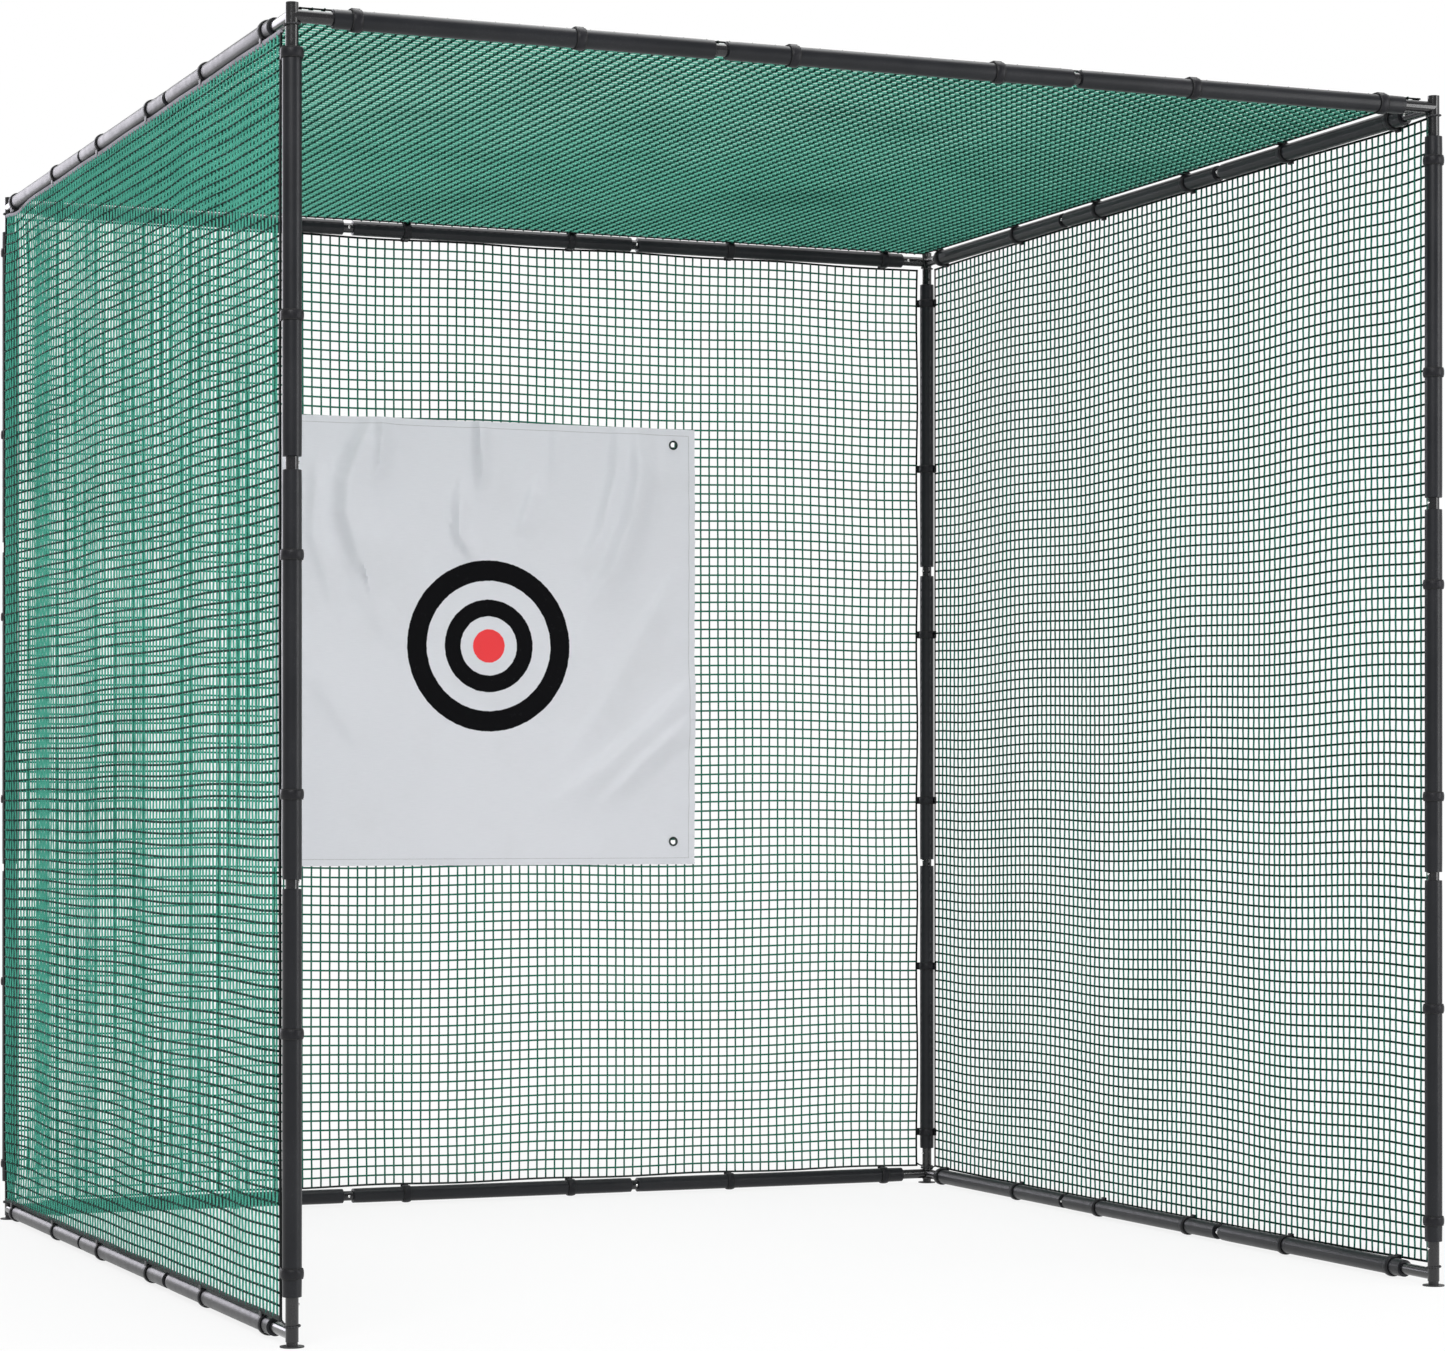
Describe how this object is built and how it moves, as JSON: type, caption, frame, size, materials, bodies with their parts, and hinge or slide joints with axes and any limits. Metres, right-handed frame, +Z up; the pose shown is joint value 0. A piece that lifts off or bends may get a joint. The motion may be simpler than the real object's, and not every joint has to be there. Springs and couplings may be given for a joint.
{
  "type": "golf practice net",
  "caption": "Cube-shaped walk-in golf practice net on a foam-sleeved knock-down tube frame, open at the front, with a ring target sheet on the back net.",
  "frame": {"origin": "on the ground, in the middle of the square that the four posts make", "axes": "+Z up, -Y towards the open front where the player stands, +X to the right seen from the front"},
  "size_m": [3.081, 3.0808, 3.048],
  "materials": {
    "tube_paint": "glossy black enamel on steel tube",
    "foot_plastic": "moulded, satin",
    "foam": "soft closed-cell foam with a smooth skin",
    "strap_webbing": "hook and loop webbing",
    "netting": "knotted green polyethylene cord",
    "tie_cord": "braided black cord",
    "target_cloth": "woven polyester, printed with rings",
    "grommet_metal": "blackened eyelet",
    "spring_steel": "bent spring strip",
    "button_metal": "bright plated"
  },
  "bodies": {
    "frame": {"post_front_left": "tube_paint", "post_front_right": "tube_paint", "post_rear_left": "tube_paint", "post_rear_right": "tube_paint", "top_rail_front": "tube_paint", "top_rail_rear": "tube_paint", "top_rail_left": "tube_paint", "top_rail_right": "tube_paint", "bottom_rail_rear": "tube_paint", "bottom_rail_left": "tube_paint", "bottom_rail_right": "tube_paint", "top_corner_fittings": "tube_paint", "foot_fittings": "tube_paint", "foot_plugs": "foot_plastic", "post_foam_sleeves": "foam", "top_rail_foam_sleeves": "foam", "bottom_rail_foam_sleeves": "foam", "net_straps": "strap_webbing", "back_net": "netting", "left_net": "netting", "right_net": "netting", "roof_net": "netting", "corner_ties": "tie_cord", "target_sheet": "target_cloth", "target_grommets": "grommet_metal", "button_springs": "spring_steel"},
    "post_front_left_foot_button": {"post_front_left_foot_button": "button_metal"},
    "post_front_left_first_joint_button": {"post_front_left_first_joint_button": "button_metal"},
    "post_front_left_second_joint_button": {"post_front_left_second_joint_button": "button_metal"},
    "post_front_right_foot_button": {"post_front_right_foot_button": "button_metal"},
    "post_front_right_first_joint_button": {"post_front_right_first_joint_button": "button_metal"},
    "post_front_right_second_joint_button": {"post_front_right_second_joint_button": "button_metal"},
    "post_rear_left_foot_button": {"post_rear_left_foot_button": "button_metal"},
    "post_rear_left_first_joint_button": {"post_rear_left_first_joint_button": "button_metal"},
    "post_rear_left_second_joint_button": {"post_rear_left_second_joint_button": "button_metal"},
    "post_rear_right_foot_button": {"post_rear_right_foot_button": "button_metal"},
    "post_rear_right_first_joint_button": {"post_rear_right_first_joint_button": "button_metal"},
    "post_rear_right_second_joint_button": {"post_rear_right_second_joint_button": "button_metal"},
    "top_rail_front_near_button": {"top_rail_front_near_button": "button_metal"},
    "top_rail_front_first_joint_button": {"top_rail_front_first_joint_button": "button_metal"},
    "top_rail_front_second_joint_button": {"top_rail_front_second_joint_button": "button_metal"},
    "top_rail_front_far_button": {"top_rail_front_far_button": "button_metal"},
    "top_rail_rear_near_button": {"top_rail_rear_near_button": "button_metal"},
    "top_rail_rear_first_joint_button": {"top_rail_rear_first_joint_button": "button_metal"},
    "top_rail_rear_second_joint_button": {"top_rail_rear_second_joint_button": "button_metal"},
    "top_rail_rear_far_button": {"top_rail_rear_far_button": "button_metal"},
    "top_rail_left_near_button": {"top_rail_left_near_button": "button_metal"},
    "top_rail_left_first_joint_button": {"top_rail_left_first_joint_button": "button_metal"},
    "top_rail_left_second_joint_button": {"top_rail_left_second_joint_button": "button_metal"},
    "top_rail_left_far_button": {"top_rail_left_far_button": "button_metal"},
    "top_rail_right_near_button": {"top_rail_right_near_button": "button_metal"},
    "top_rail_right_first_joint_button": {"top_rail_right_first_joint_button": "button_metal"},
    "top_rail_right_second_joint_button": {"top_rail_right_second_joint_button": "button_metal"},
    "top_rail_right_far_button": {"top_rail_right_far_button": "button_metal"},
    "bottom_rail_rear_first_joint_button": {"bottom_rail_rear_first_joint_button": "button_metal"},
    "bottom_rail_rear_second_joint_button": {"bottom_rail_rear_second_joint_button": "button_metal"},
    "bottom_rail_left_first_joint_button": {"bottom_rail_left_first_joint_button": "button_metal"},
    "bottom_rail_left_second_joint_button": {"bottom_rail_left_second_joint_button": "button_metal"},
    "bottom_rail_right_first_joint_button": {"bottom_rail_right_first_joint_button": "button_metal"},
    "bottom_rail_right_second_joint_button": {"bottom_rail_right_second_joint_button": "button_metal"}
  },
  "joints": [
    {"name": "post_front_left_foot_press", "type": "slide", "parent": "frame", "child": "post_front_left_foot_button", "axis": [-1, 0, 0], "range_m": [0, 0.005], "stiffness_N_per_m": 600, "springref_m": -0.004},
    {"name": "post_front_left_first_joint_press", "type": "slide", "parent": "frame", "child": "post_front_left_first_joint_button", "axis": [-1, 0, 0], "range_m": [0, 0.005], "stiffness_N_per_m": 600, "springref_m": -0.004},
    {"name": "post_front_left_second_joint_press", "type": "slide", "parent": "frame", "child": "post_front_left_second_joint_button", "axis": [-1, 0, 0], "range_m": [0, 0.005], "stiffness_N_per_m": 600, "springref_m": -0.004},
    {"name": "post_front_right_foot_press", "type": "slide", "parent": "frame", "child": "post_front_right_foot_button", "axis": [1, 0, 0], "range_m": [0, 0.005], "stiffness_N_per_m": 600, "springref_m": -0.004},
    {"name": "post_front_right_first_joint_press", "type": "slide", "parent": "frame", "child": "post_front_right_first_joint_button", "axis": [1, 0, 0], "range_m": [0, 0.005], "stiffness_N_per_m": 600, "springref_m": -0.004},
    {"name": "post_front_right_second_joint_press", "type": "slide", "parent": "frame", "child": "post_front_right_second_joint_button", "axis": [1, 0, 0], "range_m": [0, 0.005], "stiffness_N_per_m": 600, "springref_m": -0.004},
    {"name": "post_rear_left_foot_press", "type": "slide", "parent": "frame", "child": "post_rear_left_foot_button", "axis": [-1, 0, 0], "range_m": [0, 0.005], "stiffness_N_per_m": 600, "springref_m": -0.004},
    {"name": "post_rear_left_first_joint_press", "type": "slide", "parent": "frame", "child": "post_rear_left_first_joint_button", "axis": [-1, 0, 0], "range_m": [0, 0.005], "stiffness_N_per_m": 600, "springref_m": -0.004},
    {"name": "post_rear_left_second_joint_press", "type": "slide", "parent": "frame", "child": "post_rear_left_second_joint_button", "axis": [-1, 0, 0], "range_m": [0, 0.005], "stiffness_N_per_m": 600, "springref_m": -0.004},
    {"name": "post_rear_right_foot_press", "type": "slide", "parent": "frame", "child": "post_rear_right_foot_button", "axis": [1, 0, 0], "range_m": [0, 0.005], "stiffness_N_per_m": 600, "springref_m": -0.004},
    {"name": "post_rear_right_first_joint_press", "type": "slide", "parent": "frame", "child": "post_rear_right_first_joint_button", "axis": [1, 0, 0], "range_m": [0, 0.005], "stiffness_N_per_m": 600, "springref_m": -0.004},
    {"name": "post_rear_right_second_joint_press", "type": "slide", "parent": "frame", "child": "post_rear_right_second_joint_button", "axis": [1, 0, 0], "range_m": [0, 0.005], "stiffness_N_per_m": 600, "springref_m": -0.004},
    {"name": "top_rail_front_near_press", "type": "slide", "parent": "frame", "child": "top_rail_front_near_button", "axis": [0, -1, 0], "range_m": [0, 0.005], "stiffness_N_per_m": 600, "springref_m": -0.004},
    {"name": "top_rail_front_first_joint_press", "type": "slide", "parent": "frame", "child": "top_rail_front_first_joint_button", "axis": [0, -1, 0], "range_m": [0, 0.005], "stiffness_N_per_m": 600, "springref_m": -0.004},
    {"name": "top_rail_front_second_joint_press", "type": "slide", "parent": "frame", "child": "top_rail_front_second_joint_button", "axis": [0, -1, 0], "range_m": [0, 0.005], "stiffness_N_per_m": 600, "springref_m": -0.004},
    {"name": "top_rail_front_far_press", "type": "slide", "parent": "frame", "child": "top_rail_front_far_button", "axis": [0, -1, 0], "range_m": [0, 0.005], "stiffness_N_per_m": 600, "springref_m": -0.004},
    {"name": "top_rail_rear_near_press", "type": "slide", "parent": "frame", "child": "top_rail_rear_near_button", "axis": [0, 1, 0], "range_m": [0, 0.005], "stiffness_N_per_m": 600, "springref_m": -0.004},
    {"name": "top_rail_rear_first_joint_press", "type": "slide", "parent": "frame", "child": "top_rail_rear_first_joint_button", "axis": [0, 1, 0], "range_m": [0, 0.005], "stiffness_N_per_m": 600, "springref_m": -0.004},
    {"name": "top_rail_rear_second_joint_press", "type": "slide", "parent": "frame", "child": "top_rail_rear_second_joint_button", "axis": [0, 1, 0], "range_m": [0, 0.005], "stiffness_N_per_m": 600, "springref_m": -0.004},
    {"name": "top_rail_rear_far_press", "type": "slide", "parent": "frame", "child": "top_rail_rear_far_button", "axis": [0, 1, 0], "range_m": [0, 0.005], "stiffness_N_per_m": 600, "springref_m": -0.004},
    {"name": "top_rail_left_near_press", "type": "slide", "parent": "frame", "child": "top_rail_left_near_button", "axis": [-1, 0, 0], "range_m": [0, 0.005], "stiffness_N_per_m": 600, "springref_m": -0.004},
    {"name": "top_rail_left_first_joint_press", "type": "slide", "parent": "frame", "child": "top_rail_left_first_joint_button", "axis": [-1, 0, 0], "range_m": [0, 0.005], "stiffness_N_per_m": 600, "springref_m": -0.004},
    {"name": "top_rail_left_second_joint_press", "type": "slide", "parent": "frame", "child": "top_rail_left_second_joint_button", "axis": [-1, 0, 0], "range_m": [0, 0.005], "stiffness_N_per_m": 600, "springref_m": -0.004},
    {"name": "top_rail_left_far_press", "type": "slide", "parent": "frame", "child": "top_rail_left_far_button", "axis": [-1, 0, 0], "range_m": [0, 0.005], "stiffness_N_per_m": 600, "springref_m": -0.004},
    {"name": "top_rail_right_near_press", "type": "slide", "parent": "frame", "child": "top_rail_right_near_button", "axis": [1, 0, 0], "range_m": [0, 0.005], "stiffness_N_per_m": 600, "springref_m": -0.004},
    {"name": "top_rail_right_first_joint_press", "type": "slide", "parent": "frame", "child": "top_rail_right_first_joint_button", "axis": [1, 0, 0], "range_m": [0, 0.005], "stiffness_N_per_m": 600, "springref_m": -0.004},
    {"name": "top_rail_right_second_joint_press", "type": "slide", "parent": "frame", "child": "top_rail_right_second_joint_button", "axis": [1, 0, 0], "range_m": [0, 0.005], "stiffness_N_per_m": 600, "springref_m": -0.004},
    {"name": "top_rail_right_far_press", "type": "slide", "parent": "frame", "child": "top_rail_right_far_button", "axis": [1, 0, 0], "range_m": [0, 0.005], "stiffness_N_per_m": 600, "springref_m": -0.004},
    {"name": "bottom_rail_rear_first_joint_press", "type": "slide", "parent": "frame", "child": "bottom_rail_rear_first_joint_button", "axis": [0, 1, 0], "range_m": [0, 0.005], "stiffness_N_per_m": 600, "springref_m": -0.004},
    {"name": "bottom_rail_rear_second_joint_press", "type": "slide", "parent": "frame", "child": "bottom_rail_rear_second_joint_button", "axis": [0, 1, 0], "range_m": [0, 0.005], "stiffness_N_per_m": 600, "springref_m": -0.004},
    {"name": "bottom_rail_left_first_joint_press", "type": "slide", "parent": "frame", "child": "bottom_rail_left_first_joint_button", "axis": [-1, 0, 0], "range_m": [0, 0.005], "stiffness_N_per_m": 600, "springref_m": -0.004},
    {"name": "bottom_rail_left_second_joint_press", "type": "slide", "parent": "frame", "child": "bottom_rail_left_second_joint_button", "axis": [-1, 0, 0], "range_m": [0, 0.005], "stiffness_N_per_m": 600, "springref_m": -0.004},
    {"name": "bottom_rail_right_first_joint_press", "type": "slide", "parent": "frame", "child": "bottom_rail_right_first_joint_button", "axis": [1, 0, 0], "range_m": [0, 0.005], "stiffness_N_per_m": 600, "springref_m": -0.004},
    {"name": "bottom_rail_right_second_joint_press", "type": "slide", "parent": "frame", "child": "bottom_rail_right_second_joint_button", "axis": [1, 0, 0], "range_m": [0, 0.005], "stiffness_N_per_m": 600, "springref_m": -0.004}
  ]
}
